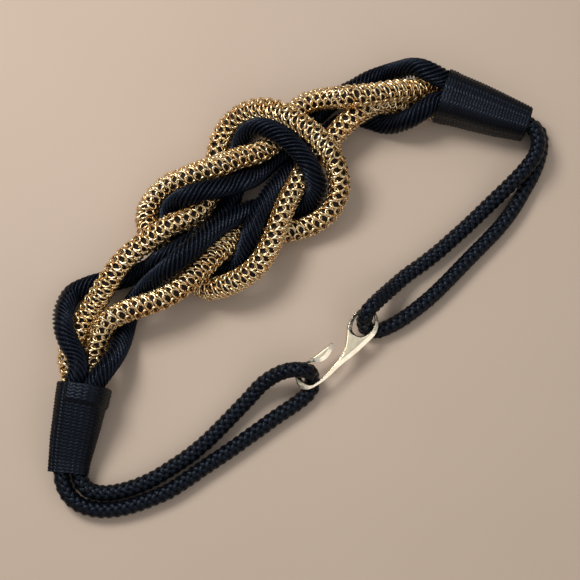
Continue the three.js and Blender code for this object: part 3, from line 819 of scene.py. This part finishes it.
def edge_slope(points, rims):
    """How far each point is up the sloping edge, from 0 at the outline to 1 on the flat, and its drop."""
    reach = np.full(len(points), np.inf)
    drop = np.zeros(len(points))
    for number, rim in enumerate(rims):
        start = np.array([p.xy for p in rim])
        along = np.roll(start, -1, axis=0) - start
        length = np.linalg.norm(along, axis=1)
        side = 1 if (signed_area(rim) > 0) == (number == 0) else -1
        outward = side * np.column_stack([along[:, 1], -along[:, 0]]) / length[:, None]
        broad = np.clip(outward @ HOOK_BROAD_SIDE * HOOK_BROAD_GAIN, 0, 1)
        gap = points[:, None] - start
        share = np.clip((gap * along).sum(axis=2) / length**2, 0, 1)
        distance = np.linalg.norm(gap - share[:, :, None] * along, axis=2)
        width = HOOK_EDGE + broad * (HOOK_BROAD_EDGE - HOOK_EDGE)
        slope = HOOK_SLOPE + broad * (HOOK_BROAD_SLOPE - HOOK_SLOPE)
        reach = np.minimum(reach, (distance / width).min(axis=1))
        drop = np.maximum(drop, (slope * (width - distance)).max(axis=1))
    return reach, drop


def cast_hook(name, node, rims):
    low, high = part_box(node)
    border = np.array([p.xy for rim in rims for p in rim])
    edges = []
    first = 0
    for rim in rims:
        edges += [(first + i, first + (i + 1) % len(rim)) for i in range(len(rim))]
        first += len(rim)
    xs = np.arange(low.x, high.x, HOOK_STEP)
    ys = np.arange(low.y, high.y, HOOK_STEP)
    field = np.array([(x + (row % 2) * HOOK_STEP / 2, y) for row, y in enumerate(ys) for x in xs])
    field = field[within(field, rims)]
    spare = np.linalg.norm(field[:, None] - border, axis=2).min(axis=1)
    field = field[spare > HOOK_STEP * HOOK_MARGIN]
    corners = [Vector(p) for p in np.vstack([border, field])]
    flat, _, triangles, *_ = delaunay_2d_cdt(corners, edges, [], 0, FILL_TOLERANCE)
    flat = np.array([tuple(p) for p in flat])
    triangles = np.array(triangles)
    triangles = triangles[within(flat[triangles].mean(axis=1), rims)].tolist()
    reach, drop = edge_slope(flat, rims)
    count = len(flat)
    sides = [side for a, b, c in triangles for side in ((a, b), (b, c), (c, a))]
    known = set(sides)
    rim_sides = [(a, b) for a, b in sides if (b, a) not in known]
    faces = triangles + [[c + count, b + count, a + count] for a, b, c in triangles]
    faces += [[b, a, a + count, b + count] for a, b in rim_sides]
    levels = ((high.z - drop).tolist(), (low.z + drop).tolist())
    data = bpy.data.meshes.new(name)
    data.from_pydata([(*p, z) for level in levels for p, z in zip(flat.tolist(), level)], [], faces)
    data.shade_smooth()
    data.set_sharp_from_angle(angle=HOOK_CREASE)
    # marks the flat of the top face, for its real satin roughness and its painted darker shade
    satin_and_shade = np.r_[np.clip((reach - SATIN_AND_SHADE_START) / SATIN_AND_SHADE_BLEND, 0, 1), np.zeros(count)].astype(np.float32)
    data.attributes.new("satin_and_shade", "FLOAT", "POINT").data.foreach_set("value", satin_and_shade)
    data.materials.append(cast_gold)
    piece = bpy.data.objects.new(name, data)
    bpy.context.scene.collection.objects.link(piece)
    print(f"{name}: {len(data.polygons)} faces")
    return piece


hook = cast_hook("cast_hook", "hook", hook_rims)

# %% [markdown]
# ## What each piece stands for
# Every piece rides on the belt's one body and takes the place of its own solid. The mesh tubes are
# chains.

# %% Tie the pieces to the frame
def stand_for(piece, node):
    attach(piece, "root")
    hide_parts(node)


for name, piece in chains.items():
    stand_for(piece, name)
for name, piece in cords.items():
    stand_for(piece, name)
for name, piece in loops.items():
    stand_for(piece, name)
for name, piece in wraps.items():
    stand_for(piece, name)
stand_for(hook, "hook")

for pieces, thickness in ((cords, 2 * CORD_SIZES["Radius"]), (loops, LOOP_THICKNESS)):
    for name, piece in pieces.items():
        line = lines[name]
print("declared cords:", ", ".join(name for pieces in (cords, loops) for name in pieces))

# %% [markdown]
# ## Floor and light
# A pale, warm floor and soft light keep the eye on the belt. The floor is 0.6 mm low, because the
# plies of the twisted cords reach that far below their tubes. The main light comes from high on the
# far left, so every ridge has a bright side and a soft shadow falls to the near right. The sky is dark
# low down, bright higher up and dimmer overhead, which gives the wire bright bars with dark between.

# %% Floor and light
FLOOR_HALF = 4.0
FLOOR_LEVEL = -0.0006


def pale_floor():
    material, tree, shader = new_material("floor", Roughness=0.7, Specular_IOR_Level=0.2)
    tree.links.new(mixed(tree, noise(tree, 6), (0.555, 0.43, 0.32), (0.605, 0.475, 0.36)),
                   shader.inputs["Base Color"])
    corners = [(FLOOR_HALF * x, FLOOR_HALF * y, FLOOR_LEVEL) for x, y in ((-1, -1), (1, -1), (1, 1), (-1, 1))]
    data = bpy.data.meshes.new("floor")
    data.from_pydata(corners, [], [(0, 1, 2, 3)])
    data.materials.append(material)
    floor = bpy.data.objects.new("floor", data)
    bpy.context.scene.collection.objects.link(floor)


def soft_light(name, place, size, power, colour):
    """A round lamp that faces the middle of the belt."""
    lamp = bpy.data.lights.new(name, "AREA")
    lamp.shape = "DISK"
    lamp.size = size
    lamp.energy = power
    lamp.color = colour
    light = bpy.data.objects.new(name, lamp)
    light.location = place
    light.rotation_euler = (-Vector(place)).to_track_quat("-Z", "Y").to_euler()
    bpy.context.scene.collection.objects.link(light)


pale_floor()
soft_light("window", place=(-0.42, 0.4, 0.78), size=0.4, power=5.7, colour=(0.98, 0.98, 1.0))
soft_light("fill", place=(0.7, -0.6, 0.7), size=0.8, power=1.1, colour=(1.0, 0.93, 0.86))
world = bpy.data.worlds.new("studio")
world.use_nodes = True
sky = world.node_tree
facing = add(sky, "ShaderNodeSeparateXYZ", {0: add(sky, "ShaderNodeTexCoord").outputs["Generated"]})
up = facing.outputs["Z"]
rise = add(sky, "ShaderNodeMapRange", {"Value": up, "From Min": 0.3, "From Max": 0.75}).outputs[0]
crest = add(sky, "ShaderNodeMapRange", {"Value": up, "From Min": 0.8, "From Max": 0.97}).outputs[0]
walls = mixed(sky, rise, (0.04, 0.024, 0.014), (0.70, 0.73, 0.80))
sky.links.new(mixed(sky, crest, walls, (0.30, 0.31, 0.32)), sky.nodes["Background"].inputs["Color"])
bpy.context.scene.world = world
bpy.context.scene.view_settings.view_transform = "Standard"
